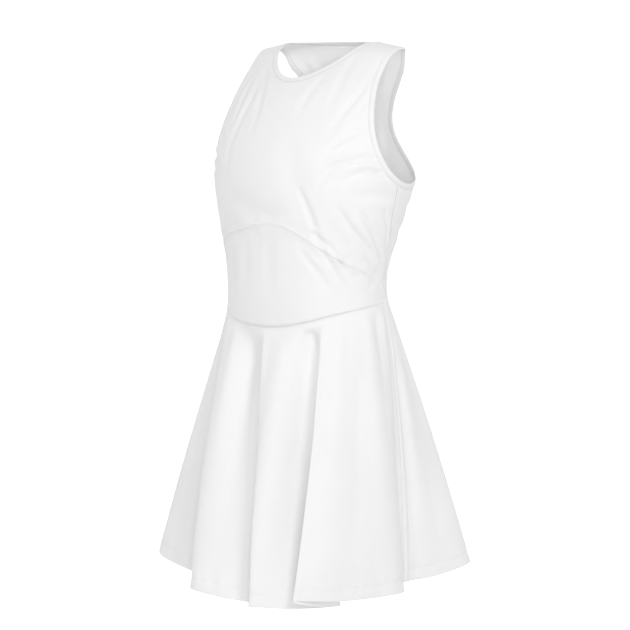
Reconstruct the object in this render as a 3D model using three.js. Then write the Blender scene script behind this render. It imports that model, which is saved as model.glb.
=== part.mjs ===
// A white sleeveless tennis dress, hollow, in the shape that it has when worn.
// It faces -Y, the wearer's left is +X, and Z = 0 is the top of the shoulders.
import * as THREE from 'three';

// Driving dimensions, in millimetres
const JERSEY_WALL = 1.4;
const HEM_WALL = 2.4;
const HEM_DEPTH = 16;
const BINDING_WALL = 2.4;
const BINDING_PROUD = 0.5;
const BINDING_WIDTH = 8;
const SEAM_GAP = 0.3;
const RIDGE = 495;
const SKIRT_AXIS_Y = -55;
const SKIRT_HALF_WIDTH = 212;
const SKIRT_HALF_DEPTH = 200;
const SQUARENESS = 0.01;
const DEGREE = Math.PI / 180;

// Bodice sections. "up" is the length of cloth from the lowest section, and "fall" is how far
// the shoulder slopes down at the section's side. The last row is the ridge of the shoulders.
const SECTIONS = [
  { up: 0, z: -420, half: 133, front: -153, side: -57, back: 42, fall: 0 },
  { up: 45, z: -375, half: 127, front: -156, side: -61, back: 35, fall: 0 },
  { up: 80, z: -340, half: 127, front: -157, side: -62, back: 33, fall: 0 },
  { up: 130, z: -290, half: 137, front: -160, side: -57, back: 46, fall: 0 },
  { up: 170, z: -250, half: 148, front: -164, side: -52, back: 58, fall: 0 },
  { up: 215, z: -205, half: 160, front: -164, side: -45, back: 68, fall: 0 },
  { up: 258, z: -163, half: 163, front: -155, side: -38, back: 72, fall: 0 },
  { up: 305, z: -118, half: 160, front: -133, side: -30, back: 70, fall: 4 },
  { up: 350, z: -80, half: 155, front: -112, side: -19, back: 62, fall: 8 },
  { up: 379, z: -57, half: 152, front: -95, side: -12, back: 55, fall: 11 },
  { up: 414, z: -33, half: 150, front: -70, side: -5, back: 46, fall: 15 },
  { up: 447, z: -12, half: 148, front: -44, side: 1, back: 37, fall: 18 },
  { up: 466, z: -4, half: 147, front: -26, side: 3, back: 29, fall: 19 },
  { up: 495, z: 0, half: 147, front: 3, side: 3, back: 3, fall: 20 },
];

// Edges and seams as turns from the centre front, in degrees, and lengths up the cloth
const FRONT_NECK = [
  { turn: 0, up: 381 },
  { turn: 8, up: 386 },
  { turn: 15.5, up: 402 },
  { turn: 22, up: 423 },
  { turn: 27, up: 449 },
  { turn: 31, up: 495 },
];
const BACK_NECK = [
  { turn: 149, up: 495 },
  { turn: 151.5, up: 484 },
  { turn: 158, up: 474 },
  { turn: 168, up: 468 },
  { turn: 180, up: 466 },
];
const FRONT_ARMHOLE = [
  { turn: 60, up: 495 },
  { turn: 57, up: 462 },
  { turn: 55, up: 425 },
  { turn: 55, up: 387 },
  { turn: 56, up: 350 },
  { turn: 58, up: 313 },
  { turn: 61, up: 288 },
  { turn: 66, up: 262 },
  { turn: 74, up: 238 },
  { turn: 86, up: 221 },
];
const BACK_ARMHOLE = [
  { turn: 86, up: 221 },
  { turn: 98, up: 215 },
  { turn: 111, up: 217 },
  { turn: 123, up: 224 },
  { turn: 134, up: 236 },
  { turn: 144, up: 252 },
  { turn: 152, up: 272 },
  { turn: 156, up: 293 },
  { turn: 156, up: 315 },
  { turn: 151, up: 347 },
  { turn: 143, up: 379 },
  { turn: 136, up: 410 },
  { turn: 132, up: 440 },
  { turn: 127, up: 470 },
  { turn: 120, up: 495 },
];
const BUST_SEAM_END = 56;
const SIDE_SEAM = [
  { up: 0, turn: 108 },
  { up: 46, turn: 105 },
  { up: 106, turn: 101 },
  { up: 153, turn: 92 },
  { up: 213, turn: 86 },
];
const WAIST_SEAM = [
  { turn: -105, up: 46 },
  { turn: -76, up: 35 },
  { turn: -50, up: 22 },
  { turn: -26, up: 14 },
  { turn: -6, up: 10.5 },
  { turn: 10, up: 12.5 },
  { turn: 29, up: 21 },
  { turn: 45, up: 30 },
  { turn: 76, up: 41 },
  { turn: 105, up: 46 },
  { turn: 180, up: 50 },
];
const BUST_SEAM = [
  { turn: -105, up: 56 },
  { turn: -88, up: 80 },
  { turn: -70, up: 101 },
  { turn: -45, up: 130 },
  { turn: -20, up: 148 },
  { turn: -4, up: 157 },
  { turn: 12, up: 157 },
  { turn: 24, up: 144 },
  { turn: 38, up: 125 },
  { turn: 60, up: 101 },
  { turn: 88, up: 80 },
  { turn: 105, up: 56 },
];

// Skirt folds, a row for each crest and hollow: the turn that it has at the waist seam, and its
// bearing and reach from the skirt's axis at the hem. Where the bearing goes back, cloth is lapped.
const SKIRT_FOLDS = [
  { waist: -105, hem: -92, reach: 226 },
  { waist: -90, hem: -72, reach: 223 },
  { waist: -74, hem: -60, reach: 227 },
  { waist: -60, hem: -45, reach: 172 },
  { waist: -49, hem: -21, reach: 156 },
  { waist: -35, hem: -11, reach: 226 },
  { waist: -24, hem: 2, reach: 224 },
  { waist: -13, hem: 15, reach: 200 },
  { waist: -5, hem: 21, reach: 184 },
  { waist: 8, hem: 18, reach: 247 },
  { waist: 18, hem: 31, reach: 238 },
  { waist: 29, hem: 49, reach: 210 },
  { waist: 42, hem: 33, reach: 254 },
  { waist: 57, hem: 48, reach: 233 },
  { waist: 71, hem: 62, reach: 216 },
  { waist: 85, hem: 79, reach: 203 },
  { waist: 97, hem: 92, reach: 150 },
  { waist: 105, hem: 101, reach: 160 },
  { waist: 119, hem: 112, reach: 200 },
  { waist: 132, hem: 123, reach: 238 },
  { waist: 144, hem: 134, reach: 190 },
  { waist: 155, hem: 143, reach: 178 },
  { waist: 166, hem: 152, reach: 230 },
  { waist: 178, hem: 164, reach: 238 },
  { waist: 190, hem: 174, reach: 184 },
  { waist: 200, hem: 186, reach: 180 },
  { waist: 211, hem: 196, reach: 234 },
  { waist: 223, hem: 210, reach: 238 },
  { waist: 235, hem: 221, reach: 184 },
  { waist: 244, hem: 235, reach: 184 },
  { waist: 255, hem: 268, reach: 226 },
];

// Length of the skirt's cloth from the waist seam to the hem, by the turn at the waist seam
const SKIRT_LENGTHS = [
  { turn: -105, length: 402 },
  { turn: -74, length: 397 },
  { turn: -40, length: 397 },
  { turn: 0, length: 397 },
  { turn: 60, length: 404 },
  { turn: 105, length: 411 },
  { turn: 180, length: 415 },
];

// How far down the skirt each row of its mesh lies, and how many columns a row of folds gets
const SKIRT_ROWS = [0, 0.03, 0.09, 0.18, 0.29, 0.41, 0.53, 0.65, 0.77, 0.88];
const STEPS_A_FOLD = 4;
const HEM_STEP = 0.004;
const DROP_STEPS = 60;

// Counts of the panels' meshes along armhole, shoulder, neck and side seam
const ARMHOLE_STEPS = 14;
const SHOULDER_STEPS = 4;
const FRONT_NECK_STEPS = 9;
const BACK_NECK_STEPS = 7;
const FRONT_SIDE_STEPS = 8;
const BACK_SIDE_STEPS = 9;
const MIDRIFF_STEPS = 4;

// Steps of the armhole, from the underarm, below the first line across each panel, rows of mesh in
// the shoulder strap, and where the columns stand on the seam below, from the side to the centre
const FRONT_SPLIT = 4;
const FRONT_STRAP = 4;
const FRONT_COLUMNS = [-78, -58, 0];
const BACK_SPLIT = 5;
const BACK_STRAP = 3;
const BACK_COLUMNS = [105, 136, 156, 180];

// Reads a column of a table at a value of its first column, as a smooth curve through the rows.
function smooth(table, by, column, at) {
  const last = table.length - 1;
  let row = 0;
  while (row < last - 1 && table[row + 1][by] <= at) row += 1;
  const gap = (i) => table[i + 1][by] - table[i][by];
  const rise = (i) => (table[i + 1][column] - table[i][column]) / gap(i);
  const middle = (i) => (rise(i - 1) * gap(i) + rise(i) * gap(i - 1)) / (gap(i - 1) + gap(i));
  const slope = (i) => {
    if (i === 0) return 2 * rise(0) - middle(1);
    if (i === last) return 2 * rise(last - 1) - middle(last - 1);
    return middle(i);
  };
  const width = gap(row);
  const t = Math.min(Math.max((at - table[row][by]) / width, 0), 1);
  const start = table[row][column] * (1 + 2 * t) * (1 - t) ** 2 + slope(row) * width * t * (1 - t) ** 2;
  const end = table[row + 1][column] * (3 - 2 * t) * t * t + slope(row + 1) * width * t * t * (t - 1);
  return start + end;
}

// Continues a table round the body, so that a curve through it closes smoothly.
function around(table, by, moved = []) {
  const turned = (turns) => (row) => {
    const copy = { ...row };
    for (const column of [by, ...moved]) copy[column] += 360 * turns;
    return copy;
  };
  return [...table.map(turned(-1)), ...table, ...table.map(turned(1))];
}

const WAIST_SEAM_ROUND = around(WAIST_SEAM, 'turn');
const SKIRT_LENGTHS_ROUND = around(SKIRT_LENGTHS, 'turn');
const SKIRT_FOLDS_ROUND = around(SKIRT_FOLDS.slice(0, -1), 'waist', ['hem']);

// The bodice's outer face
function bodicePoint(turn, up) {
  const row = {};
  for (const column of ['z', 'half', 'front', 'side', 'back', 'fall']) {
    row[column] = smooth(SECTIONS, 'up', column, up);
  }
  const angle = turn * DEGREE;
  const depth = (row.back - row.front) / 2;
  const skew = row.side - (row.front + row.back) / 2;
  const square = 1 + SQUARENESS * Math.sin(2 * angle) ** 2;
  const ahead = depth * Math.cos(angle) + skew * Math.cos(angle) ** 2;
  return new THREE.Vector3(
    row.half * Math.sin(angle) * square,
    row.side - ahead * square,
    row.z - row.fall * Math.sin(angle) ** 2,
  );
}

// Slopes of a surface per degree and per millimetre, and its outward direction
function slopesOf(surface, turn, along, highest) {
  const above = Math.min(along + 0.5, highest);
  const below = above - 1;
  const across = surface(turn + 0.2, along).sub(surface(turn - 0.2, along)).divideScalar(0.4);
  const upward = surface(turn, above).sub(surface(turn, below)).divideScalar(above - below);
  const out = new THREE.Vector3().crossVectors(across, upward).normalize();
  return { across, upward, out };
}

// On the ridge of the shoulders, front and back share one outward direction.
function bodiceVertex({ turn, up }) {
  const { out } = slopesOf(bodicePoint, turn, up, RIDGE);
  if (up > RIDGE - 0.01) out.add(slopesOf(bodicePoint, 180 - turn, up, RIDGE).out).normalize();
  return { point: bodicePoint(turn, up), out };
}

// Even samples of a table of edge points, from its first row to its last
function sampleEdge(table, steps) {
  const places = table.map(({ turn, up }) => bodicePoint(turn, up));
  let length = 0;
  const rows = table.map((row, i) => {
    if (i > 0) length += places[i].distanceTo(places[i - 1]);
    return { ...row, length };
  });
  return Array.from({ length: steps + 1 }, (_, i) => {
    const at = (length * i) / steps;
    return { turn: smooth(rows, 'length', 'turn', at), up: smooth(rows, 'length', 'up', at) };
  });
}

// Moves each point of a closed edge across the cloth, away from the opening, in short steps.
function insetEdge(edge, distance, steps = 4) {
  let moved = edge;
  for (let step = 0; step < steps; step += 1) {
    const places = moved.map(({ turn, up }) => bodicePoint(turn, up));
    const count = places.length;
    moved = moved.map(({ turn, up, ridge }, i) => {
      const { across, upward, out } = slopesOf(bodicePoint, turn, up, RIDGE);
      const tangent = places[(i + 1) % count].clone().sub(places[(i + count - 1) % count]).normalize();
      const aside = new THREE.Vector3().crossVectors(out, tangent).multiplyScalar(distance / steps);
      const a = across.lengthSq();
      const b = across.dot(upward);
      const c = upward.lengthSq();
      const p = aside.dot(across);
      const q = aside.dot(upward);
      const scale = a * c - b * b;
      const turned = (p * c - q * b) / scale;
      const raised = ridge ? 0 : (q * a - p * b) / scale;
      return { turn: turn + turned, up: Math.min(up + raised, RIDGE), ridge };
    });
  }
  return moved;
}

const mirrored = (edge) => edge.map((row) => ({ ...row, turn: -row.turn }));
const backwards = (edge) => [...edge].reverse();
const onRidge = (row) => ({ ...row, ridge: true });

// The neck's edge, left shoulder to right across the front and back again behind
function neckLoop() {
  const frontLeft = backwards(sampleEdge(FRONT_NECK, FRONT_NECK_STEPS));
  const front = [...frontLeft, ...mirrored(backwards(frontLeft)).slice(1)];
  const backLeft = sampleEdge(BACK_NECK, BACK_NECK_STEPS);
  const back = [...mirrored(backLeft), ...backwards(backLeft).slice(1)];
  const loop = [...front, ...back.slice(1, -1)];
  loop[0] = onRidge(loop[0]);
  loop[2 * FRONT_NECK_STEPS] = onRidge(loop[2 * FRONT_NECK_STEPS]);
  return loop;
}

// The left armhole's edge, from the shoulder down the front and up again behind
function armholeLoop() {
  const front = sampleEdge(FRONT_ARMHOLE, ARMHOLE_STEPS);
  const back = sampleEdge(BACK_ARMHOLE, ARMHOLE_STEPS);
  const loop = [...front, ...back.slice(1, -1)];
  loop[0] = onRidge(loop[0]);
  return loop;
}

const NECK = neckLoop();
const ARMHOLE = armholeLoop();

// The edges of the panels, next to the bindings
const PANEL_NECK = insetEdge(NECK, BINDING_WIDTH + SEAM_GAP);
const PANEL_ARMHOLE = insetEdge(ARMHOLE, -(BINDING_WIDTH + SEAM_GAP));

function between(from, to, steps) {
  return Array.from({ length: steps + 1 }, (_, i) => {
    const t = i / steps;
    return { turn: from.turn + (to.turn - from.turn) * t, up: from.up + (to.up - from.up) * t };
  });
}

const seamPoint = (table, turn) => ({ turn, up: smooth(table, 'turn', 'up', turn) });

// The bust seam's table ends at the side seams' turn at the waist, a little past its own ends.
function bustSeamPoint(turn) {
  const { up } = seamPoint(BUST_SEAM, (turn * BUST_SEAM.at(-1).turn) / sideTurn(BUST_SEAM_END));
  return { turn, up };
}
const behind = (edge) => edge.map((row) => ({ ...row, turn: 360 - row.turn }));

// The left side seam's turn at a height. It ends at the armhole panel edge's lowest sample.
const WAIST_UP = 46;
function sideTurn(up) {
  const top = PANEL_ARMHOLE[ARMHOLE_STEPS];
  const drift = top.turn - smooth(SIDE_SEAM, 'up', 'turn', top.up);
  return smooth(SIDE_SEAM, 'up', 'turn', up) + (drift * (up - WAIST_UP)) / (top.up - WAIST_UP);
}

// A side edge from a lower seam up to the armhole. "place" turns a left-hand angle to this side.
function sideEdge(low, high, rows, place) {
  return Array.from({ length: rows + 1 }, (_, j) => {
    const up = low.up + ((high.up - low.up) * j) / rows;
    return { turn: place(sideTurn(up)), up };
  });
}

// Fills the space between four edges, in columns of points from the bottom up.
function fillGrid(bottom, top, left, right) {
  const columns = bottom.length - 1;
  const rows = left.length - 1;
  const blend = (key, i, j) => {
    const u = i / columns;
    const v = j / rows;
    const sides = left[j][key] * (1 - u) + right[j][key] * u;
    const ends = bottom[i][key] * (1 - v) + top[i][key] * v;
    const low = bottom[0][key] * (1 - u) + bottom[columns][key] * u;
    const high = top[0][key] * (1 - u) + top[columns][key] * u;
    return sides + ends - low * (1 - v) - high * v;
  };
  return bottom.map((_, i) => left.map((__, j) => ({ turn: blend('turn', i, j), up: blend('up', i, j) })));
}

// A sheet collects the vertices and the four-sided faces of one piece of cloth. Grids that share
// an edge share its vertices, by their places.
class Sheet {
  constructor() {
    this.vertices = [];
    this.faces = [];
    this.known = new Map();
  }

  add(vertex) {
    const place = vertex.point.toArray().map((value) => value.toFixed(3)).join();
    if (!this.known.has(place)) {
      this.known.set(place, this.vertices.length);
      this.vertices.push(vertex);
    }
    return this.known.get(place);
  }

  addGrid(grid) {
    const index = grid.map((column) => column.map((vertex) => this.add(vertex)));
    for (let i = 0; i < index.length - 1; i += 1) {
      for (let j = 0; j < index[i].length - 1; j += 1) {
        this.faces.push([index[i][j], index[i + 1][j], index[i + 1][j + 1], index[i][j + 1]]);
      }
    }
  }

  // Edges that only one face has, each with the cloth on its left
  rim() {
    const edges = new Map();
    for (const face of this.faces) {
      face.forEach((from, k) => {
        const to = face[(k + 1) % 4];
        if (!edges.delete(`${to},${from}`)) edges.set(`${from},${to}`, { from, to });
      });
    }
    return [...edges.values()];
  }

  // Sewn edges step back from the seam by half its gap, squarely to the edge.
  setBack(rim) {
    const pulls = new Map();
    for (const { from, to } of rim) {
      const a = this.vertices[from];
      const b = this.vertices[to];
      if (a.sewn && b.sewn) {
        const along = b.point.clone().sub(a.point);
        for (const [index, { out }] of [[from, a], [to, b]]) {
          const pull = new THREE.Vector3().crossVectors(out, along).normalize();
          pulls.set(index, [...(pulls.get(index) ?? []), pull]);
        }
      }
    }
    return this.vertices.map(({ point }, index) => {
      const [first, second = first] = pulls.get(index) ?? [];
      if (!first) return point.clone();
      const reach = SEAM_GAP / 2 / (1 + first.dot(second));
      return point.clone().addScaledVector(first, reach).addScaledVector(second, reach);
    });
  }

  // The closed wall: the outer face, the inner face behind it and the rim between them
  wall() {
    const rim = this.rim();
    const places = this.setBack(rim);
    const count = places.length;
    const positions = places.flatMap((place) => place.toArray());
    this.vertices.forEach(({ out, wall }, index) => {
      positions.push(...places[index].clone().addScaledVector(out, -wall).toArray());
    });
    const triangles = [];
    const quad = (a, b, c, d) => triangles.push(a, b, c, a, c, d);
    for (const [a, b, c, d] of this.faces) {
      quad(a, b, c, d);
      quad(count + d, count + c, count + b, count + a);
    }
    for (const { from, to } of rim) quad(to, from, count + from, count + to);
    return geometryOf(positions, triangles);
  }
}

function geometryOf(positions, triangles) {
  const geometry = new THREE.BufferGeometry();
  geometry.setAttribute('position', new THREE.Float32BufferAttribute(positions, 3));
  geometry.setIndex(triangles);
  geometry.computeVertexNormals();
  return geometry;
}

const clothVertex = (row, sewn) => ({ ...bodiceVertex(row), wall: JERSEY_WALL, sewn });
const clothGrid = (grid) => grid.map((column) => column.map((row) => clothVertex(row, row.up > RIDGE - 0.01)));

// A bodice panel in four grids: the lowest ends at the armholes' undersides, the next one at the
// neck, and a strap goes up each side of the neck to the shoulder.
function bodicePanel({ bottom, first, last, neck, split, strap, sides, place }) {
  const top = first.length - 1 - strap;
  const end = neck.length - 1 - strap;
  const leftRoot = between(first[top], neck[strap], SHOULDER_STEPS);
  const rightRoot = between(neck[end], last[top], SHOULDER_STEPS);
  const neckline = [...leftRoot, ...neck.slice(strap + 1, end), ...rightRoot];
  const across = between(first[split], last[split], neckline.length - 1);
  const underarms = [...first.slice(0, split), ...across, ...backwards(last.slice(0, split))];
  const left = sideEdge(bottom[0], first[0], sides, place[0]);
  const right = sideEdge(bottom.at(-1), last[0], sides, place[1]);
  const leftShoulder = between(first.at(-1), neck[0], SHOULDER_STEPS);
  const rightShoulder = between(neck.at(-1), last.at(-1), SHOULDER_STEPS);
  const sheet = new Sheet();
  for (const row of [...bottom, ...left, ...right]) sheet.add(clothVertex(row, true));
  for (const grid of [
    fillGrid(bottom, underarms, left, right),
    fillGrid(across, neckline, first.slice(split, top + 1), last.slice(split, top + 1)),
    fillGrid(leftRoot, leftShoulder, first.slice(top), backwards(neck.slice(0, strap + 1))),
    fillGrid(rightRoot, rightShoulder, neck.slice(end), last.slice(top)),
  ]) sheet.addGrid(clothGrid(grid));
  return sheet.wall();
}

// Places for the columns along a bottom seam
function spread(stops, counts) {
  const turns = [stops[0]];
  counts.forEach((count, k) => {
    for (let i = 1; i <= count; i += 1) turns.push(stops[k] + ((stops[k + 1] - stops[k]) * i) / count);
  });
  return turns;
}

// A binding folded over a raw edge: a flat tube whose outer face rolls over at the opening.
const BINDING_SECTION = [
  { across: 1, depth: -BINDING_PROUD },
  { across: 0.15, depth: -BINDING_PROUD },
  { across: 0, depth: BINDING_WALL / 2 - BINDING_PROUD },
  { across: 0.15, depth: BINDING_WALL - BINDING_PROUD },
  { across: 1, depth: BINDING_WALL - BINDING_PROUD },
];

function bindingGeometry(edge, side) {
  const rails = BINDING_SECTION.map(({ across, depth }) => {
    const rail = across === 0 ? edge : insetEdge(edge, side * BINDING_WIDTH * across);
    return rail.map((row) => {
      const { point, out } = bodiceVertex(row);
      return point.addScaledVector(out, -depth);
    });
  });
  const count = edge.length;
  const corners = rails.length;
  const positions = rails.flatMap((rail) => rail.flatMap((place) => place.toArray()));
  const triangles = [];
  for (let r = 0; r < corners; r += 1) {
    for (let i = 0; i < count; i += 1) {
      const next = (r + 1) % corners;
      const a = r * count + i;
      const b = r * count + ((i + 1) % count);
      const c = next * count + ((i + 1) % count);
      const d = next * count + i;
      if (side > 0) triangles.push(a, c, b, a, d, c);
      else triangles.push(a, b, d, b, c, d);
    }
  }
  return geometryOf(positions, triangles);
}

// The skirt's outer face, at a turn of the waist seam and a share of the way down
const ease = (down) => 1.25 * down - 0.25 * down * down;
const foldGrowth = (down) => down ** 1.2;

function skirtPlan(turn, down) {
  const waist = bodicePoint(turn, smooth(WAIST_SEAM_ROUND, 'turn', 'up', turn));
  const angle = turn * DEGREE;
  const bearing = smooth(SKIRT_FOLDS_ROUND, 'waist', 'hem', turn) * DEGREE;
  const reach = smooth(SKIRT_FOLDS_ROUND, 'waist', 'reach', turn);
  const evenX = SKIRT_HALF_WIDTH * Math.sin(angle);
  const evenY = SKIRT_AXIS_Y - SKIRT_HALF_DEPTH * Math.cos(angle);
  const foldX = reach * Math.sin(bearing) - evenX;
  const foldY = SKIRT_AXIS_Y - reach * Math.cos(bearing) - evenY;
  return new THREE.Vector2(
    waist.x + (evenX - waist.x) * ease(down) + foldX * foldGrowth(down),
    waist.y + (evenY - waist.y) * ease(down) + foldY * foldGrowth(down),
  );
}

// Every generator of the skirt keeps its cut length, so a crest hangs higher than a hollow.
const skirtColumns = new Map();
function skirtColumn(turn) {
  if (skirtColumns.has(turn)) return skirtColumns.get(turn);
  const seam = bodicePoint(turn, smooth(WAIST_SEAM_ROUND, 'turn', 'up', turn));
  const length = smooth(SKIRT_LENGTHS_ROUND, 'turn', 'length', turn);
  const column = [seam];
  let last = skirtPlan(turn, 0);
  let z = seam.z;
  for (let i = 1; i <= DROP_STEPS; i += 1) {
    const plan = skirtPlan(turn, i / DROP_STEPS);
    const step = length / DROP_STEPS;
    z -= Math.sqrt(step * step - plan.distanceToSquared(last));
    column.push(new THREE.Vector3(plan.x, plan.y, z));
    last = plan;
  }
  skirtColumns.set(turn, column);
  return column;
}

function skirtPoint(turn, down) {
  const column = skirtColumn(turn);
  const place = Math.min(Math.max(down, 0), 1) * DROP_STEPS;
  const i = Math.min(Math.floor(place), DROP_STEPS - 1);
  return column[i].clone().lerp(column[i + 1], place - i);
}

function skirtVertex(turn, down) {
  const low = Math.min(down + 0.01, 1);
  const high = low - 0.02;
  if (down === 0) return bodiceVertex(seamPoint(WAIST_SEAM_ROUND, turn));
  const across = skirtPoint(turn + 0.4, down).sub(skirtPoint(turn - 0.4, down));
  const upward = skirtPoint(turn, Math.max(high, 0)).sub(skirtPoint(turn, low));
  const out = new THREE.Vector3().crossVectors(across, upward).normalize();
  return { point: skirtPoint(turn, down), out };
}

function skirtPanel(first, last) {
  const rows = SKIRT_FOLDS_ROUND.filter(({ waist }) => waist >= first && waist <= last);
  const turns = spread(rows.map(({ waist }) => waist), rows.slice(1).map(() => STEPS_A_FOLD));
  const hem = 1 - HEM_DEPTH / SKIRT_LENGTHS[0].length;
  const downs = [1, hem, hem - HEM_STEP, ...backwards(SKIRT_ROWS)];
  const sheet = new Sheet();
  sheet.addGrid(turns.map((turn, i) => downs.map((down, j) => ({
    ...skirtVertex(turn, down),
    wall: down >= hem ? HEM_WALL : JERSEY_WALL,
    sewn: i === 0 || i === turns.length - 1 || j === downs.length - 1,
  }))));
  return sheet.wall();
}

// The columns of both front pieces at the bust seam
function frontTurns() {
  const counts = [FRONT_SPLIT, SHOULDER_STEPS, FRONT_NECK_STEPS - FRONT_STRAP];
  const stops = [-sideTurn(BUST_SEAM_END), ...FRONT_COLUMNS];
  return spread([...stops, ...backwards(stops).map((turn) => -turn).slice(1)], [...counts, ...backwards(counts)]);
}

function frontBodice() {
  const edge = backwards(PANEL_ARMHOLE.slice(0, ARMHOLE_STEPS + 1));
  const neck = PANEL_NECK.slice(0, 2 * FRONT_NECK_STEPS + 1);
  return bodicePanel({
    bottom: frontTurns().map((turn) => bustSeamPoint(turn)),
    first: mirrored(edge),
    last: edge,
    neck: backwards(neck),
    split: FRONT_SPLIT,
    strap: FRONT_STRAP,
    sides: FRONT_SIDE_STEPS,
    place: [(turn) => -turn, (turn) => turn],
  });
}

function backBodice() {
  const edge = [...PANEL_ARMHOLE.slice(ARMHOLE_STEPS), { turn: 180 - PANEL_ARMHOLE[0].turn, up: RIDGE }];
  const corner = { turn: 180 - PANEL_NECK[0].turn, up: RIDGE };
  const inside = PANEL_NECK.slice(2 * FRONT_NECK_STEPS + 1);
  const neck = backwards(inside).map(({ turn, up }) => ({ turn: (turn + 360) % 360, up }));
  const counts = [BACK_SPLIT, SHOULDER_STEPS, BACK_NECK_STEPS - BACK_STRAP];
  const turns = spread([...BACK_COLUMNS, ...backwards(BACK_COLUMNS).map((turn) => 360 - turn).slice(1)],
    [...counts, ...backwards(counts)]);
  return bodicePanel({
    bottom: turns.map((turn) => seamPoint(WAIST_SEAM_ROUND, turn)),
    first: edge,
    last: behind(edge),
    neck: [corner, ...neck, ...behind([corner])],
    split: BACK_SPLIT,
    strap: BACK_STRAP,
    sides: BACK_SIDE_STEPS,
    place: [(turn) => turn, (turn) => 360 - turn],
  });
}

function frontMidriff() {
  const turns = frontTurns();
  const widening = BUST_SEAM.at(-1).turn / turns.at(-1);
  const bottom = turns.map((turn) => seamPoint(WAIST_SEAM_ROUND, turn * widening));
  const top = turns.map((turn) => bustSeamPoint(turn));
  const left = between(bottom[0], top[0], MIDRIFF_STEPS);
  const right = between(bottom.at(-1), top.at(-1), MIDRIFF_STEPS);
  const sheet = new Sheet();
  for (const row of [...bottom, ...top, ...left, ...right]) sheet.add(clothVertex(row, true));
  sheet.addGrid(clothGrid(fillGrid(bottom, top, left, right)));
  return sheet.wall();
}

// Finishes: smooth white stretch jersey, a little brighter on the bindings
const jersey = new THREE.MeshStandardMaterial({ color: 0xf2f2f3, roughness: 0.85, metalness: 0 });
const binding = new THREE.MeshStandardMaterial({ color: 0xf5f5f6, roughness: 0.8, metalness: 0 });

const dress = new THREE.Group();

function sew(name, geometry, material) {
  const piece = new THREE.Mesh(geometry, material);
  piece.name = name;
  dress.add(piece);
}

sew('front_bodice', frontBodice(), jersey);
sew('front_midriff', frontMidriff(), jersey);
sew('back_bodice', backBodice(), jersey);
sew('skirt_front', skirtPanel(-105, 105), jersey);
sew('skirt_back', skirtPanel(105, 255), jersey);
sew('neck_binding', bindingGeometry(NECK, 1), binding);
sew('armhole_binding_left', bindingGeometry(ARMHOLE, -1), binding);
sew('armhole_binding_right', bindingGeometry(mirrored(ARMHOLE), 1), binding);

export default dress;
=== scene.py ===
import math
from collections import namedtuple

import bpy
import numpy as np
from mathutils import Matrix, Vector
from mathutils.bvhtree import BVHTree


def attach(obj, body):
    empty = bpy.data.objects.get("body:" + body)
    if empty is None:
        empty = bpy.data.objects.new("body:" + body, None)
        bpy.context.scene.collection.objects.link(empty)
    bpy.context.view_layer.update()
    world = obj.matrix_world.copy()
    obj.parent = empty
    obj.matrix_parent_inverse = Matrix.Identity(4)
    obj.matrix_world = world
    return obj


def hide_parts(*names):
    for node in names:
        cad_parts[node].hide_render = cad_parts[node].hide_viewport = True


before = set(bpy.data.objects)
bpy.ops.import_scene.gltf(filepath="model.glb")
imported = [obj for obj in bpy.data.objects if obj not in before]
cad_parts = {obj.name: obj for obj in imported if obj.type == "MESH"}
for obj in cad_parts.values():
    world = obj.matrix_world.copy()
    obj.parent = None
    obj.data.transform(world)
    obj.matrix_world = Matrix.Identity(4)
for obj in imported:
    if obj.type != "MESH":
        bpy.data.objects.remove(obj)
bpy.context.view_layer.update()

# The front of the top is one piece of smooth white stretch jersey, from the shoulders and the neck
# down to an arched seam under the bust. It is cut flat and takes its shape from the stretch of the
# knit, which pulls into small creases below the armholes and above the seam.
MM = 0.001
JERSEY_WALL = 1.4
BINDING_WIDTH = 8.0
RIDGE = 495.0
SQUARENESS = 0.01
Section = namedtuple("Section", "up z half front side back fall")
BODICE = [
    Section(0, -420, 133, -153, -57, 42, 0),
    Section(45, -375, 127, -156, -61, 35, 0),
    Section(80, -340, 127, -157, -62, 33, 0),
    Section(130, -290, 137, -160, -57, 46, 0),
    Section(170, -250, 148, -164, -52, 58, 0),
    Section(215, -205, 160, -164, -45, 68, 0),
    Section(258, -163, 163, -155, -38, 72, 0),
    Section(305, -118, 160, -133, -30, 70, 4),
    Section(350, -80, 155, -112, -19, 62, 8),
    Section(379, -57, 152, -95, -12, 55, 11),
    Section(414, -33, 150, -70, -5, 46, 15),
    Section(447, -12, 148, -44, 1, 37, 18),
    Section(466, -4, 147, -26, 3, 29, 19),
    Section(495, 0, 147, 3, 3, 3, 20),
]
Place = namedtuple("Place", "turn up")
FRONT_NECK = [
    Place(0, 381), Place(8, 386), Place(15.5, 402), Place(22, 423), Place(27, 449), Place(31, 495),
]
BACK_NECK = [Place(149, 495), Place(151.5, 484), Place(158, 474), Place(168, 468), Place(180, 466)]
FRONT_ARMHOLE = [
    Place(60, 495), Place(57, 462), Place(55, 425), Place(55, 387), Place(56, 350), Place(58, 313),
    Place(61, 288), Place(66, 262), Place(74, 238), Place(86, 221),
]
BACK_ARMHOLE = [
    Place(86, 221), Place(98, 215), Place(111, 217), Place(123, 224), Place(134, 236), Place(144, 252),
    Place(152, 272), Place(156, 293), Place(156, 315), Place(151, 347), Place(143, 379), Place(136, 410),
    Place(132, 440), Place(127, 470), Place(120, 495),
]
SIDE_SEAM = [Place(108, 0), Place(105, 46), Place(101, 106), Place(92, 153), Place(86, 213)]
WAIST_UP = 46
BUST_SEAM_END = 56
BUST_SEAM = [
    Place(-105, 56), Place(-88, 80), Place(-70, 101), Place(-45, 130), Place(-20, 148), Place(-4, 157),
    Place(12, 157), Place(24, 144), Place(38, 125), Place(60, 101), Place(88, 80), Place(105, 56),
]


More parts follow.
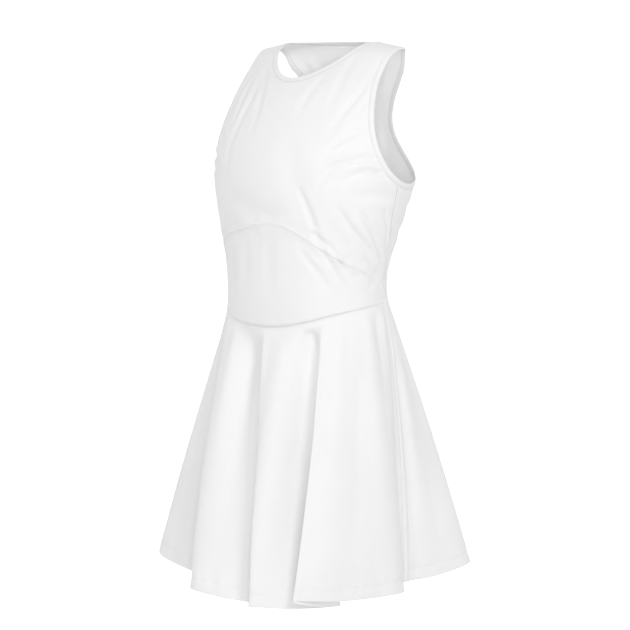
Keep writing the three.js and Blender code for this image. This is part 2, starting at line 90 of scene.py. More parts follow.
def smooth(rows, by, column, at):
    """A column of a table at places in another column, as a smooth curve through its rows."""
    x = np.array([getattr(row, by) for row in rows], float)
    y = np.array([getattr(row, column) for row in rows], float)
    gap = np.diff(x)
    rise = np.diff(y) / gap
    slope = np.empty(len(x))
    slope[1:-1] = (rise[:-1] * gap[1:] + rise[1:] * gap[:-1]) / (gap[:-1] + gap[1:])
    slope[0] = 2 * rise[0] - slope[1]
    slope[-1] = 2 * rise[-1] - slope[-2]
    row = np.clip(np.searchsorted(x, at, side="right") - 1, 0, len(x) - 2)
    t = np.clip((at - x[row]) / gap[row], 0, 1)
    start = y[row] * (1 + 2 * t) * (1 - t) ** 2 + slope[row] * gap[row] * t * (1 - t) ** 2
    end = y[row + 1] * (3 - 2 * t) * t * t + slope[row + 1] * gap[row] * t * t * (t - 1)
    return start + end


def unit(vectors):
    return vectors / np.linalg.norm(vectors, axis=-1, keepdims=True)


def bodice(turn, up):
    """The top's outer face in millimetres, at a turn from the centre front and a length up the cloth."""
    turn, up = np.broadcast_arrays(np.asarray(turn, float), np.asarray(up, float))
    z, half, front, side, back, fall = (smooth(BODICE, "up", name, up) for name in Section._fields[1:])
    angle = np.radians(turn)
    square = 1 + SQUARENESS * np.sin(2 * angle) ** 2
    skew = side - (front + back) / 2
    ahead = (back - front) / 2 * np.cos(angle) + skew * np.cos(angle) ** 2
    drop = fall * np.sin(angle) ** 2
    return np.stack([half * np.sin(angle) * square, side - ahead * square, z - drop], -1)


TURN_STEP = 0.2


def slopes(turn, up):
    """The top's run for a degree of turn, its run for a millimetre up, and its outward direction."""
    above = np.minimum(up + 0.5, RIDGE)
    across = (bodice(turn + TURN_STEP, up) - bodice(turn - TURN_STEP, up)) / (2 * TURN_STEP)
    upward = bodice(turn, above) - bodice(turn, above - 1)
    return across, upward, unit(np.cross(across, upward))


def bodice_out(turn, up):
    """Outward directions. On the ridge of the shoulders, front and back share one."""
    turn, up = np.broadcast_arrays(np.asarray(turn, float), np.asarray(up, float))
    out = slopes(turn, up)[2]
    shared = unit(out + slopes(180 - turn, up)[2])
    return np.where((up > RIDGE - 0.01)[..., None], shared, out)


Stop = namedtuple("Stop", "order turn up")


def curve_through(path, steps):
    """The turns and ups of a smooth curve through a path of places."""
    stops = [Stop(order, *place) for order, place in enumerate(path)]
    at = np.linspace(0, len(stops) - 1, steps)
    return smooth(stops, "order", "turn", at), smooth(stops, "order", "up", at)


def lengths_along(line):
    """The length of a line up to each of its points."""
    return np.concatenate([[0], np.cumsum(np.linalg.norm(np.diff(line, axis=0), axis=1))])


def even_samples(rows, steps):
    """Even steps along an edge, as rows of turn and up."""
    turn, up = curve_through(rows, 400)
    length = lengths_along(bodice(turn, up))
    wanted = np.linspace(0, length[-1], steps + 1)
    return np.stack([np.interp(wanted, length, turn), np.interp(wanted, length, up)], -1)


def on_surface(aside, across, upward):
    """The steps of turn and up that make a small move along the cloth."""
    a, b, c = (across ** 2).sum(-1), (across * upward).sum(-1), (upward ** 2).sum(-1)
    p, q = (aside * across).sum(-1), (aside * upward).sum(-1)
    scale = a * c - b * b
    return (p * c - q * b) / scale, (q * a - p * b) / scale


def inset(edge, on_ridge, distance, steps=4):
    """Moves each point of a closed edge across the cloth, away from the opening."""
    turn, up = edge.T
    for _ in range(steps):
        place = bodice(turn, up)
        across, upward, out = slopes(turn, up)
        tangent = unit(np.roll(place, -1, 0) - np.roll(place, 1, 0))
        turn_step, up_step = on_surface(np.cross(out, tangent) * distance / steps, across, upward)
        turn = turn + turn_step
        up = np.minimum(up + np.where(on_ridge, 0, up_step), RIDGE)
    return np.stack([turn, up], -1)


def mirrored(edge):
    return edge * [-1, 1]


FINENESS = 6
ARMHOLE_STEPS = 14 * FINENESS
SHOULDER_STEPS = 4 * FINENESS
FRONT_NECK_STEPS = 9 * FINENESS
BACK_NECK_STEPS = 7 * FINENESS

left_neck = even_samples(FRONT_NECK, FRONT_NECK_STEPS)[::-1]
behind_neck = even_samples(BACK_NECK, BACK_NECK_STEPS)
NECK = np.concatenate([
    left_neck, mirrored(left_neck[::-1])[1:], mirrored(behind_neck)[1:], behind_neck[::-1][1:-1],
])
NECK_RIDGE = np.isin(np.arange(len(NECK)), [0, 2 * FRONT_NECK_STEPS])
ARMHOLE = np.concatenate([
    even_samples(FRONT_ARMHOLE, ARMHOLE_STEPS), even_samples(BACK_ARMHOLE, ARMHOLE_STEPS)[1:-1],
])
ARMHOLE_RIDGE = np.arange(len(ARMHOLE)) == 0
PANEL_NECK = inset(NECK, NECK_RIDGE, BINDING_WIDTH)
PANEL_ARMHOLE = inset(ARMHOLE, ARMHOLE_RIDGE, -BINDING_WIDTH)


def side_turn(up):
    """The left side seam's turn, which ends at the armhole's lowest point."""
    top_turn, top_up = PANEL_ARMHOLE[ARMHOLE_STEPS]
    drift = top_turn - smooth(SIDE_SEAM, "up", "turn", top_up)
    return smooth(SIDE_SEAM, "up", "turn", up) + drift * (up - WAIST_UP) / (top_up - WAIST_UP)


def line_between(start, end, steps):
    share = np.linspace(0, 1, steps + 1)[:, None]
    return start * (1 - share) + end * share


def side_edge(low, high, steps):
    """The left side seam, between the heights of two places."""
    up = np.linspace(low[1], high[1], steps + 1)
    return np.stack([side_turn(up), up], -1)


def filled(bottom, top, left, right):
    """A grid of places between four edges, in columns from the bottom up."""
    u = np.linspace(0, 1, len(bottom))[:, None, None]
    v = np.linspace(0, 1, len(left))[None, :, None]
    sides = left[None] * (1 - u) + right[None] * u
    ends = bottom[:, None] * (1 - v) + top[:, None] * v
    corners = (bottom[0] * (1 - u) + bottom[-1] * u) * (1 - v) + (top[0] * (1 - u) + top[-1] * u) * v
    return sides + ends - corners


def panel_grids(bottom, first, last, neck, split, strap, left, right):
    """A panel of the top in four grids: below the armholes, up to the neck, and the two straps."""
    top = len(first) - 1 - strap
    end = len(neck) - 1 - strap
    left_root = line_between(first[top], neck[strap], SHOULDER_STEPS)
    right_root = line_between(neck[end], last[top], SHOULDER_STEPS)
    neckline = np.concatenate([left_root, neck[strap + 1:end], right_root])
    across = line_between(first[split], last[split], len(neckline) - 1)
    underarms = np.concatenate([first[:split], across, last[:split][::-1]])
    left_shoulder = line_between(first[-1], neck[0], SHOULDER_STEPS)
    right_shoulder = line_between(neck[-1], last[-1], SHOULDER_STEPS)
    return [
        filled(bottom, underarms, left, right),
        filled(across, neckline, first[split:top + 1], last[split:top + 1]),
        filled(left_root, left_shoulder, first[top:], neck[:strap + 1][::-1]),
        filled(right_root, right_shoulder, neck[end:], last[top:]),
    ]


def spread(stops, counts):
    """Steps between stops, a count for each gap."""
    parts = [np.linspace(a, b, count, endpoint=False) for a, b, count in zip(stops, stops[1:], counts)]
    return np.concatenate([*parts, stops[-1:]])


def seam_places(rows, turns):
    return np.stack([turns, smooth(rows, "turn", "up", turns)], -1)


def bust_seam(turns):
    """The seam under the bust. Its table ends at the waist's side seams, a little past its own ends."""
    widening = BUST_SEAM[-1].turn / side_turn(BUST_SEAM_END)
    return np.stack([turns, smooth(BUST_SEAM, "turn", "up", turns * widening)], -1)


def quads(at):
    """Faces between neighbouring columns and lines of a grid of indices."""
    return np.stack([at[:-1, :-1], at[1:, :-1], at[1:, 1:], at[:-1, 1:]], -1).reshape(-1, 4)


def welded(grids):
    """Joins grids that share edges: the distinct rows, and faces of four indices into them."""
    rows = np.concatenate([grid.reshape(-1, grid.shape[-1]) for grid in grids])
    _, kept, index = np.unique(np.round(rows[:, :2], 4), axis=0, return_index=True, return_inverse=True)
    index = index.ravel()
    faces = []
    start = 0
    for grid in grids:
        columns, lines = grid.shape[:2]
        at = index[start:start + columns * lines].reshape(columns, lines)
        faces.append(quads(at))
        start += columns * lines
    return rows[kept], np.concatenate(faces)


def new_piece(name, points, faces, material):
    """A smooth piece of the dress, from points in millimetres."""
    mesh = bpy.data.meshes.new(name)
    mesh.from_pydata((points * MM).tolist(), [], faces)
    mesh.validate()
    mesh.shade_smooth()
    mesh.materials.append(material)
    piece = bpy.data.objects.new(name, mesh)
    bpy.context.scene.collection.objects.link(piece)
    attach(piece, "root")
    return piece


def lay_threads(piece, weave):
    """Keeps each point's place on the flat cloth, in metres, for the knit of the material."""
    layer = piece.data.uv_layers.new(name="threads")
    corners = np.empty(len(piece.data.loops), int)
    piece.data.loops.foreach_get("vertex_index", corners)
    layer.data.foreach_set("uv", (weave * MM)[corners].astype(np.float32).ravel())


def cloth(name, place, out, faces, wall, weave, material):
    """A closed shell of cloth: its outer face, its inner face and a rounded edge all round."""
    count = len(place)
    sides = np.concatenate([faces[:, [k, (k + 1) % 4]] for k in range(4)])
    key = np.sort(sides, 1)
    _, first, times = np.unique(key, axis=0, return_index=True, return_counts=True)
    rim = sides[first[times == 1]]
    wall = np.broadcast_to(wall, (count,))[:, None]
    edge = np.unique(rim)
    middle = np.full(count, -1)
    middle[edge] = 2 * count + np.arange(len(edge))
    points = np.concatenate([place, place - out * wall, place[edge] - out[edge] * wall[edge] / 2])
    aside = np.zeros((count, 3))
    for a, b in ((0, 1), (1, 0)):
        np.add.at(aside, rim[:, a], np.cross(place[rim[:, 1]] - place[rim[:, 0]], out[rim[:, a]]))
    points[2 * count:] += unit(aside[edge]) * wall[edge] * EDGE_ROUNDNESS
    low, high = rim.T
    closed = np.concatenate([
        faces,
        faces[:, ::-1] + count,
        np.stack([high, low, middle[low], middle[high]], -1),
        np.stack([middle[high], middle[low], low + count, high + count], -1),
    ])
    piece = new_piece(name, points, closed.tolist(), material)
    lay_threads(piece, np.concatenate([weave, weave, weave[edge]]))
    # Marks the inner face, which the material paints lighter as painted light.
    inner = np.zeros(len(points), np.float32)
    inner[count:2 * count] = 1
    piece.data.attributes.new("inner_face", "FLOAT", "POINT").data.foreach_set("value", inner)
    return piece


EDGE_ROUNDNESS = 0.1
CREASE_STEPS = 40
CREASE_REACH = 6
CREASE_FADE = 0.8
BANK_HEIGHT = 0.45
BANK_AT = 1.7
BANK_WIDTH = 1.1
Crease = namedtuple("Crease", "width depth lean path")


def crease_push(place, out, creases):
    """How far soft troughs, each between two low banks, push each point of a panel, in millimetres."""
    push = np.zeros(len(place))
    for crease in creases:
        line = bodice(*curve_through(crease.path, CREASE_STEPS))
        run = unit(np.gradient(line, axis=0))
        limit = np.ptp(line, axis=0).max() + CREASE_REACH * crease.width
        picked = np.flatnonzero(np.linalg.norm(place - line.mean(0), axis=1) < limit)
        if not len(picked):
            continue
        away = place[picked][:, None] - line[None]
        nearest = np.argmin((away ** 2).sum(-1), 1)
        offset = away[np.arange(len(picked)), nearest]
        side = (np.cross(out[picked], run[nearest]) * offset).sum(-1)
        distance = np.linalg.norm(offset, axis=-1) * np.sign(side) / crease.width
        fade = np.sin(np.pi * nearest / (CREASE_STEPS - 1)) ** CREASE_FADE
        shape = -np.exp(-distance ** 2)
        shape += (BANK_HEIGHT + crease.lean) * np.exp(-((distance - BANK_AT) / BANK_WIDTH) ** 2)
        shape += (BANK_HEIGHT - crease.lean) * np.exp(-((distance + BANK_AT) / BANK_WIDTH) ** 2)
        push[picked] += crease.depth * fade * shape
    return push


FRONT_CREASES = [
    Crease(4.2, 4.6, 0.15,
        ((78, 246), (69, 249), (57, 253), (47.7, 250), (42, 245), (37.1, 237), (34, 223), (33, 206))),
    Crease(3.6, -1.8, 0, ((51, 261), (45.6, 256), (40.8, 254), (36.4, 248), (33.8, 239))),
    Crease(4.2, 4.1, 0.1,
        ((86, 218), (80.3, 223), (69, 230), (59.4, 234), (53.5, 232), (48.7, 226), (46, 215))),
    Crease(8, 1.8, 0, ((88, 196), (76.2, 199), (65.8, 202), (59.3, 200), (54.2, 195))),
    Crease(3.4, 1.9, 0.1, ((53, 298), (48.7, 291), (45.2, 284), (43, 279))),
    Crease(3.4, 1.7, -0.1, ((44, 286), (42.5, 283), (39.5, 279), (36.2, 272), (34, 265))),
    Crease(3.4, 1.4, 0.1, ((58, 310), (54.9, 308), (50.8, 304), (46.2, 300))),
    Crease(3.6, 1.5, 0, ((56, 281), (55, 279), (51.3, 273), (48.2, 267))),
    Crease(5, 2.3, 0.15,
        ((49.5, 440), (48.6, 403), (47.3, 373), (44.1, 351), (40.7, 333), (35.9, 307), (33, 290))),
    Crease(6, 1.4, -0.1, ((31.4, 450), (31.2, 419), (30.9, 394), (30.8, 365), (30.1, 345), (29, 325))),
    Crease(5, 2.3, 0.1,
        ((52, 450), (53, 419), (53.6, 391), (52.4, 362), (49.3, 340), (45.8, 322), (42, 305))),
    Crease(6, 1.2, 0, ((20, 392), (19.2, 379), (16.8, 363), (14.6, 347), (13.2, 328), (12, 310))),
    Crease(5, 1.8, -0.1, ((53, 335), (51.8, 324), (46, 296), (38.6, 276), (34, 262))),
    Crease(6, 1.6, 0.1, ((-27, 430), (-25, 403), (-19.5, 369), (-16.1, 337), (-14.9, 307), (-15, 280))),
    Crease(6, 1.7, -0.15,
        ((-27, 410), (-24.4, 370), (-24.9, 341), (-26.8, 319), (-28.6, 294), (-29.4, 270))),
    Crease(6, 1.8, 0.1, ((-36, 400), (-34.8, 360), (-34.5, 331), (-34.5, 304), (-35, 280))),
    Crease(8, 1.5, 0, ((-38, 430), (-42, 390), (-45, 350), (-46, 310))),
    Crease(7, 1.4, 0, ((-29, 325), (-29.1, 310), (-29.9, 282), (-29.7, 252), (-29, 230))),
    Crease(5, 3.6, 0.1,
        ((45, 188), (47.2, 180), (52.1, 166), (58, 151), (64.6, 138), (77.1, 117), (84, 106))),
    Crease(4.4, 3.6, -0.15,
        ((61, 178), (63.6, 171), (69.1, 158), (74.9, 145), (82.3, 128), (89, 115), (94, 104))),
    Crease(3.4, 2.0, 0, ((78, 180), (80.2, 174), (85.5, 159), (90.7, 141), (93, 128))),
    Crease(5, 2.9, 0.1,
        ((21, 210), (22.5, 206), (26.6, 189), (30.1, 172), (34.5, 151), (36.4, 140), (38, 130))),
    Crease(4.4, 3.6, -0.1,
        ((31, 150), (33.5, 143), (38.5, 129), (44.5, 110), (49.1, 96), (55.9, 76), (60, 64))),
    Crease(3.8, 2.0, 0, ((36, 146), (38.7, 139), (45.1, 127), (50.8, 113), (58.1, 94), (62, 82))),
    Crease(4.4, 2.3, 0.1, ((24, 127), (27.3, 118), (31.6, 107), (36.7, 95), (42.6, 78), (46, 64))),
    Crease(5, 2.3, 0.1, ((70, 114), (76.2, 105), (84.8, 92), (99.1, 76))),
    Crease(3, 1.8, 0, ((30, 150), (34, 146), (38, 138), (41, 133))),
    Crease(17, 2.4, 0.1,
        ((12, 290), (13.1, 267), (16.2, 243), (19.7, 220), (24.1, 195), (29.1, 170), (33, 150))),
    Crease(13, 1.8, -0.1, ((-34, 205), (-22.5, 195), (-10, 181), (0.1, 173), (10.2, 171), (20, 170))),
    Crease(9, 1.5, 0, ((-32, 130), (-34, 90), (-36, 45))),
    Crease(8, 1.2, 0.1, ((-16, 145), (-17, 100), (-20, 60))),
    Crease(9, 1.2, 0, ((3, 145), (4, 100), (2, 60))),
    Crease(5, 2.8, 0.15, ((-76, 240), (-68, 246), (-58, 250), (-49, 247), (-43, 240), (-39, 228))),
    Crease(5, 2.3, -0.1, ((-84, 219), (-76, 226), (-66, 231), (-57, 231), (-50, 225))),
    Crease(5, 1.9, 0, ((-53, 300), (-48, 291), (-44, 280), (-41, 268))),
    Crease(6, 2.2, 0.1, ((-46, 180), (-54, 160), (-62, 143), (-74, 120), (-82, 106))),
    Crease(5, 2.3, -0.1, ((-64, 176), (-71, 158), (-79, 138), (-88, 116))),
    Crease(5, 2.3, 0.1, ((-40, 140), (-46, 120), (-52, 98), (-60, 72))),
]

FRONT_SPLIT = 4 * FINENESS
FRONT_STRAP = 4 * FINENESS
SIDE_STEPS = 8 * FINENESS
front_counts = [FRONT_SPLIT, SHOULDER_STEPS, FRONT_NECK_STEPS - FRONT_STRAP]
front_stops = np.array([-side_turn(BUST_SEAM_END), -78, -58, 0])
front_turns = spread([*front_stops, *-front_stops[::-1][1:]], front_counts + front_counts[::-1])
left_armhole = PANEL_ARMHOLE[:ARMHOLE_STEPS + 1][::-1]
front_bottom = bust_seam(front_turns)
front_grids = panel_grids(
    front_bottom, mirrored(left_armhole), left_armhole, PANEL_NECK[:2 * FRONT_NECK_STEPS + 1][::-1],
    FRONT_SPLIT, FRONT_STRAP,
    mirrored(side_edge(front_bottom[0], left_armhole[0], SIDE_STEPS)),
    side_edge(front_bottom[-1], left_armhole[0], SIDE_STEPS),
)

SEAM_REACH = 30
GROOVE_SHARE = 0.35
GROOVE_AT = 0.8
GROOVE_WIDTH = 0.9
Pucker = namedtuple("Pucker", "spacing reach depth rise band seed")


def seam_relief(place, seam, pucker):
    """A stitched seam stands a little proud as a narrow band, and puckers the cloth beside it."""
    dice = np.random.default_rng(pucker.seed)
    length = lengths_along(seam)
    push = np.zeros(len(place))
    low, high = seam.min(0) - SEAM_REACH, seam.max(0) + SEAM_REACH
    picked = np.flatnonzero(((place > low) & (place < high)).all(1))
    distance = np.full(len(picked), np.inf)
    along = np.zeros(len(picked))
    for start, end, run in zip(seam[:-1], seam[1:], length[:-1]):
        step = end - start
        share = np.clip((place[picked] - start) @ step / (step @ step), 0, 1)
        here = np.linalg.norm(place[picked] - start - share[:, None] * step, axis=1)
        nearer = here < distance
        distance[nearer] = here[nearer]
        along[nearer] = (run + share * np.linalg.norm(step))[nearer]
    knots = np.arange(0, length[-1] + 2 * pucker.spacing, pucker.spacing / 2)
    heights = dice.uniform(-1, 0.6, len(knots))
    wave = np.interp(along, knots, heights)
    beside = np.exp(-((distance - pucker.reach / 2) / (pucker.reach / 2)) ** 2)
    push[picked] = pucker.rise * np.exp(-(distance / pucker.band) ** 6) + pucker.depth * wave * beside
    groove = np.exp(-((distance - pucker.band * GROOVE_AT) / GROOVE_WIDTH) ** 2)
    push[picked] -= pucker.rise * GROOVE_SHARE * groove
    return push


# Painted light: the inner face gets a whiter colour, standing in for light that comes through the knit.
INNER_PAINTED_LIGHT = (0.97, 0.97, 0.972)


def set_inputs(node, values):
    for socket, value in values.items():
        node.inputs[socket].default_value = value


def new_material(name, color, shade, roughness, sheen, wale, course, relief):
    """Fine plain-knit cloth: columns of small loops in the bump, and slight changes of tone.

    Its inner face is painted lighter: painted light, standing in for light that comes through the knit."""
    material = bpy.data.materials.new(name)
    material.use_nodes = True
    nodes, links = material.node_tree.nodes, material.node_tree.links
    shader = nodes["Principled BSDF"]
    set_inputs(shader, {"Sheen Weight": sheen, "Sheen Roughness": 0.5, "Specular IOR Level": 0.25})
    threads = nodes.new("ShaderNodeUVMap")
    threads.uv_map = "threads"
    bed = nodes.new("ShaderNodeTexCoord")
    patches = nodes.new("ShaderNodeTexNoise")
    set_inputs(patches, {"Scale": 9, "Detail": 3})
    links.new(bed.outputs["Object"], patches.inputs["Vector"])
    tone = nodes.new("ShaderNodeValToRGB")
    tone.color_ramp.elements[0].position = 0.3
    tone.color_ramp.elements[0].color = (*shade, 1)
    tone.color_ramp.elements[1].position = 0.7
    tone.color_ramp.elements[1].color = (*color, 1)
    links.new(patches.outputs["Fac"], tone.inputs["Fac"])
    # Painted light: points on the inner face take the whiter colour, in place of light through the knit.
    inner = nodes.new("ShaderNodeAttribute")
    inner.attribute_name = "inner_face"
    faces = nodes.new("ShaderNodeMixRGB")
    set_inputs(faces, {"Color2": (*INNER_PAINTED_LIGHT, 1)})
    links.new(inner.outputs["Fac"], faces.inputs["Fac"])
    links.new(tone.outputs["Color"], faces.inputs["Color1"])
    links.new(faces.outputs["Color"], shader.inputs["Base Color"])
    rough = nodes.new("ShaderNodeMapRange")
    set_inputs(rough, {"To Min": roughness - 0.06, "To Max": roughness + 0.06})
    links.new(patches.outputs["Fac"], rough.inputs["Value"])
    links.new(rough.outputs["Result"], shader.inputs["Roughness"])
    heights = []
    for axis, pitch in (("X", wale), ("Y", course)):
        wave = nodes.new("ShaderNodeTexWave")
        wave.bands_direction = axis
        set_inputs(wave, {"Scale": math.pi / 10 / (pitch * MM), "Distortion": 0.4, "Detail": 1})
        links.new(threads.outputs["UV"], wave.inputs["Vector"])
        heights.append(wave.outputs["Fac"])
    loops = nodes.new("ShaderNodeMath")
    loops.operation = "MULTIPLY_ADD"
    set_inputs(loops, {1: 0.6})
    links.new(heights[0], loops.inputs[0])
    links.new(heights[1], loops.inputs[2])
    bump = nodes.new("ShaderNodeBump")
    set_inputs(bump, {"Strength": relief, "Distance": 0.15 * MM})
    links.new(loops.outputs["Value"], bump.inputs["Height"])
    links.new(bump.outputs["Normal"], shader.inputs["Normal"])
    return material


MEAN_RADIUS = 140.0
HOLD_REACH = 6.0
HOLD_SHARE = 0.94
jersey = new_material("white_jersey", (0.87, 0.87, 0.874), (0.845, 0.845, 0.851), 0.82, 0.2, 0.9, 0.7, 0.35)


def held_flat(place):
    """Creases die away towards the bindings, which hold the cloth flat along them."""
    share = np.ones(len(place))
    for edge in (PANEL_NECK, PANEL_ARMHOLE, mirrored(PANEL_ARMHOLE)):
        for spot in bodice(*edge.T):
            held = np.exp(-((place - spot) ** 2).sum(-1) / HOLD_REACH ** 2)
            share = np.minimum(share, 1 - HOLD_SHARE * held)
    return share


def bodice_cloth(name, grids, creases, seams):
    rows, faces = welded(grids)
    turn, up = rows.T
    place, out = bodice(turn, up), bodice_out(turn, up)
    push = crease_push(place, out, creases) * held_flat(place)
    for seam, pucker in seams:
        push += seam_relief(place, seam, pucker)
    weave = np.stack([np.radians(turn) * MEAN_RADIUS, up], -1)
    return cloth(name, place + out * push[:, None], out, faces, JERSEY_WALL, weave, jersey)


bust_line = bodice(*bust_seam(np.linspace(front_turns[0], front_turns[-1], 160)).T)
side_line = bodice(*side_edge([0, WAIST_UP], [0, PANEL_ARMHOLE[ARMHOLE_STEPS][1]], 60).T)
other_side_line = side_line * [-1, 1, 1]
SIDE = Pucker(18, 7, 0.5, 0.5, 2.2, 7)
side_seams = [(side_line, SIDE), (other_side_line, SIDE)]
UNDER_BUST = Pucker(22, 17, 1.5, 0.7, 4.4, 3)
front_seams = [(bust_line, UNDER_BUST), *side_seams]
front = bodice_cloth("front_bodice_cloth", front_grids, FRONT_CREASES, front_seams)
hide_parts("front_bodice")

# The front midriff is one piece of the same jersey, between the arched seam and the waist seam.
# It narrows to nothing at the side seams, and the creases of the front run on down it.
WAIST_SEAM = [
    Place(-105, 46), Place(-76, 35), Place(-50, 22), Place(-26, 14), Place(-6, 10.5), Place(10, 12.5),
    Place(29, 21), Place(45, 30), Place(76, 41), Place(105, 46), Place(180, 50),
]


def around(rows, *moved):
    """Repeats a table's rows a full turn before and after it, so that its curve closes."""
    names = ("turn", *moved)
    return [
        row._replace(**{name: getattr(row, name) + 360 * turns for name in names})
        for turns in (-1, 0, 1) for row in rows
    ]


WAIST_ROUND = around(WAIST_SEAM)
MIDRIFF_STEPS = 5 * FINENESS
midriff_widening = BUST_SEAM[-1].turn / front_turns[-1]
midriff_bottom = seam_places(WAIST_ROUND, front_turns * midriff_widening)
midriff_grids = [filled(
    midriff_bottom, front_bottom,
    line_between(midriff_bottom[0], front_bottom[0], MIDRIFF_STEPS),
    line_between(midriff_bottom[-1], front_bottom[-1], MIDRIFF_STEPS),
)]
waist_line = bodice(*seam_places(WAIST_ROUND, np.linspace(-180, 180, 361)).T)
WAIST = Pucker(26, 14, 0.8, 0.5, 4.4, 5)
midriff = bodice_cloth(
    "front_midriff_cloth", midriff_grids, FRONT_CREASES, [*front_seams, (waist_line, WAIST)],
)
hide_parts("front_midriff")

# The back of the top is one piece of jersey from the waist seam to the shoulder seams, cut away
# round both shoulder blades so that only a narrow middle is left. Its side seams join the front's.
BACK_SPLIT = 5 * FINENESS
BACK_STRAP = 3 * FINENESS
BACK_SIDE_STEPS = 9 * FINENESS
BACK_STOPS = np.array([105.0, 136, 156, 180])


def behind(edge):
    return np.stack([360 - edge[:, 0], edge[:, 1]], -1)


back_corner = np.array([[180 - PANEL_NECK[0][0], RIDGE]])
back_armhole = np.concatenate([PANEL_ARMHOLE[ARMHOLE_STEPS:], [[180 - PANEL_ARMHOLE[0][0], RIDGE]]])
back_inside = PANEL_NECK[2 * FRONT_NECK_STEPS + 1:][::-1]
back_neck = np.concatenate([
    back_corner, np.stack([back_inside[:, 0] % 360, back_inside[:, 1]], -1), behind(back_corner),
])
back_counts = [BACK_SPLIT, SHOULDER_STEPS, BACK_NECK_STEPS - BACK_STRAP]
back_turns = spread([*BACK_STOPS, *(360 - BACK_STOPS[::-1][1:])], back_counts + back_counts[::-1])
back_bottom = seam_places(WAIST_ROUND, back_turns)
back_grids = panel_grids(
    back_bottom, back_armhole, behind(back_armhole), back_neck, BACK_SPLIT, BACK_STRAP,
    side_edge(back_bottom[0], back_armhole[0], BACK_SIDE_STEPS),
    behind(side_edge(back_bottom[-1], back_armhole[0], BACK_SIDE_STEPS)),
)
BACK_CREASES = [
    Crease(7, 2.2, 0.1, ((112, 190), (122, 175), (136, 165))),
    Crease(7, 1.9, -0.1, ((108, 160), (122, 140), (138, 128))),
    Crease(7, 2.2, 0.1, ((248, 190), (238, 178), (226, 166))),
    Crease(7, 1.9, -0.1, ((252, 158), (240, 142), (222, 130))),
    Crease(9, 2.1, 0, ((160, 110), (180, 104), (203, 112))),
    Crease(8, 1.6, 0.1, ((150, 86), (172, 80), (196, 84))),
    Crease(8, 1.6, -0.1, ((168, 300), (167, 260), (163, 220))),
    Crease(8, 1.4, 0.1, ((192, 295), (194, 255), (199, 215))),
    Crease(7, 1.4, 0, ((146, 450), (154, 400), (161, 350))),
    Crease(7, 1.3, 0, ((214, 450), (206, 400), (199, 350))),
]
back = bodice_cloth("back_bodice_cloth", back_grids, BACK_CREASES, [(waist_line, WAIST), *side_seams])
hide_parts("back_bodice")

# The skirt is two part circles of the same jersey, front and back, sewn at the sides and along the
# waist seam. It falls in seven soft folds that start at the seam and open towards the hem, which is
# turned up once and stitched.
HEM_WALL = 2.4
HEM_DEPTH = 16.0
SKIRT_AXIS_Y = -55.0
SKIRT_HALF_WIDTH = 212.0
SKIRT_HALF_DEPTH = 200.0
Fold = namedtuple("Fold", "turn hem reach")
FOLDS = [
    Fold(-105, -92, 226), Fold(-90, -72, 223), Fold(-74, -60, 227), Fold(-60, -45, 172), Fold(-49, -21, 156),
    Fold(-35, -11, 226), Fold(-24, 2, 224), Fold(-13, 15, 200), Fold(-5, 21, 184), Fold(8, 18, 247),
    Fold(18, 31, 238), Fold(29, 49, 210), Fold(42, 33, 254), Fold(57, 48, 233), Fold(71, 62, 216),
    Fold(85, 79, 203), Fold(97, 92, 150), Fold(105, 101, 160), Fold(119, 112, 200), Fold(132, 123, 238),
    Fold(144, 134, 190), Fold(155, 143, 178), Fold(166, 152, 230), Fold(178, 164, 238), Fold(190, 174, 184),
    Fold(200, 186, 180), Fold(211, 196, 234), Fold(223, 210, 238), Fold(235, 221, 184), Fold(244, 235, 184),
]
Length = namedtuple("Length", "turn length")
LENGTHS = [
    Length(-105, 402), Length(-74, 397), Length(-40, 397), Length(0, 397), Length(60, 404), Length(105, 411),
    Length(180, 415),
]
FOLDS_ROUND = around(FOLDS, "hem")
LENGTHS_ROUND = around(LENGTHS)
DROP_STEPS = 120
HIP_EASE = 0.25
FOLD_GROWTH = 1.2


def waist_edge(turn, surface=bodice):
    return surface(turn, smooth(WAIST_ROUND, "turn", "up", turn))


def skirt_plan(turn, down):
    """Where the skirt's cloth lies seen from above, at a turn of the waist and a share of the way down."""
    waist = waist_edge(turn)
    bearing = np.radians(smooth(FOLDS_ROUND, "turn", "hem", turn))
    reach = smooth(FOLDS_ROUND, "turn", "reach", turn)
    even_x = SKIRT_HALF_WIDTH * np.sin(np.radians(turn))
    even_y = SKIRT_AXIS_Y - SKIRT_HALF_DEPTH * np.cos(np.radians(turn))
    ease = (1 + HIP_EASE) * down - HIP_EASE * down * down
    growth = down ** FOLD_GROWTH
    x = waist[..., 0] + (even_x - waist[..., 0]) * ease + (reach * np.sin(bearing) - even_x) * growth
    y = waist[..., 1] + (even_y - waist[..., 1]) * ease
    return np.stack([x, y + (SKIRT_AXIS_Y - reach * np.cos(bearing) - even_y) * growth], -1)


def skirt_columns(turns):
    """Each generator of the skirt from the seam to the hem, with its cut length kept."""
    seam = waist_edge(turns)
    length = smooth(LENGTHS_ROUND, "turn", "length", turns)
    down = np.linspace(0, 1, DROP_STEPS + 1)
    plan = skirt_plan(turns[:, None], down[None, :])
    aside = (np.diff(plan, axis=1) ** 2).sum(-1)
    drop = np.sqrt((length[:, None] / DROP_STEPS) ** 2 - aside)
    z = seam[:, 2:] - np.concatenate([np.zeros((len(turns), 1)), np.cumsum(drop, 1)], 1)
    return np.concatenate([plan, z[..., None]], -1)


SKIRT_TURN_STEP = 0.3


def skirt(turns, downs):
    """Points and outward directions of the skirt, for every turn and every share of the way down."""
    def at(columns):
        spot = np.clip(downs, 0, 1) * DROP_STEPS
        low = np.minimum(spot.astype(int), DROP_STEPS - 1)
        share = (spot - low)[None, :, None]
        return columns[:, low] * (1 - share) + columns[:, low + 1] * share
    place = at(skirt_columns(turns))
    across = at(skirt_columns(turns + SKIRT_TURN_STEP)) - at(skirt_columns(turns - SKIRT_TURN_STEP))
    upward = -np.gradient(place, axis=1)
    return place, unit(np.cross(across, upward))


